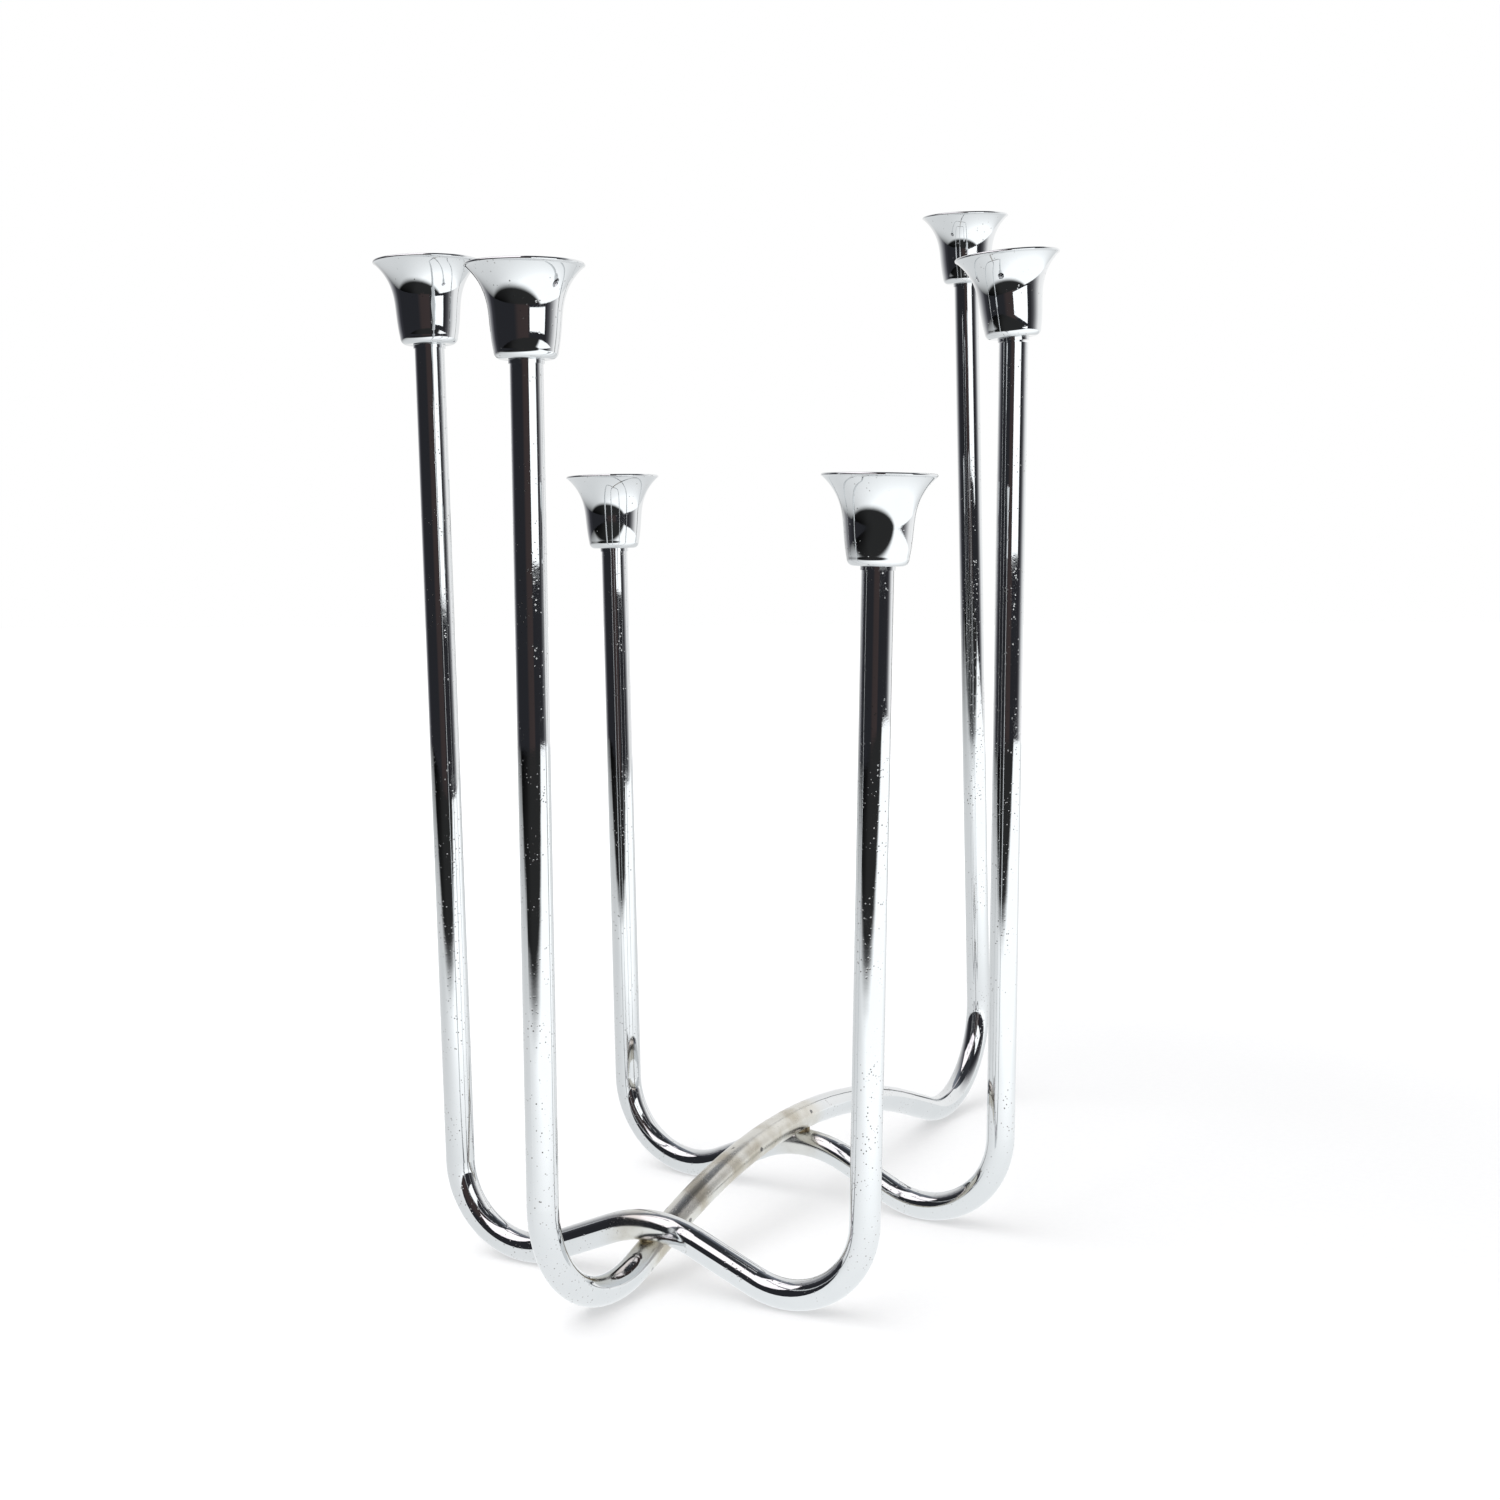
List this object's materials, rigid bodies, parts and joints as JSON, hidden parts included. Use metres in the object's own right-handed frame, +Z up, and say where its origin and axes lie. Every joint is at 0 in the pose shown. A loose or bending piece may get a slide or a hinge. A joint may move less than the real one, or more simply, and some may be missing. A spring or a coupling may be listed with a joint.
{
  "type": "candelabrum",
  "caption": "Table candelabrum of bent chrome tubes brazed where they cross, with a flared candle cup on the end of every arm.",
  "frame": {"origin": "on the floor under the middle of the overall footprint", "axes": "+Z up, +Y along the cross rod from its near arm to its far arm, +X roughly along the front and rear rods towards the front rod's short arm"},
  "size_m": [0.261, 0.4416, 0.4867],
  "materials": {
    "tube_chrome": "polished chrome plate with fine pits, warm tarnish near the brazed crossings",
    "cup_chrome": "polished chrome plate",
    "plug_chrome": "polished chrome plate",
    "braze": "plated-over brazing, dull and stained",
    "fastener_steel": "plain steel"
  },
  "bodies": {
    "root": {"braze_front": "braze", "braze_rear": "braze", "candle_cup_cross_far": "cup_chrome", "candle_cup_cross_near": "cup_chrome", "candle_cup_front_left": "cup_chrome", "candle_cup_front_right": "cup_chrome", "candle_cup_rear_left": "cup_chrome", "candle_cup_rear_right": "cup_chrome", "cross_rod": "tube_chrome", "cup_screw_cross_far": "fastener_steel", "cup_screw_cross_near": "fastener_steel", "cup_screw_front_left": "fastener_steel", "cup_screw_front_right": "fastener_steel", "cup_screw_rear_left": "fastener_steel", "cup_screw_rear_right": "fastener_steel", "end_plug_cross_far": "plug_chrome", "end_plug_cross_near": "plug_chrome", "end_plug_front_left": "plug_chrome", "end_plug_front_right": "plug_chrome", "end_plug_rear_left": "plug_chrome", "end_plug_rear_right": "plug_chrome", "front_rod": "tube_chrome", "rear_rod": "tube_chrome", "spring_washer_cross_far": "fastener_steel", "spring_washer_cross_near": "fastener_steel", "spring_washer_front_left": "fastener_steel", "spring_washer_front_right": "fastener_steel", "spring_washer_rear_left": "fastener_steel", "spring_washer_rear_right": "fastener_steel"}
  },
  "joints": []
}
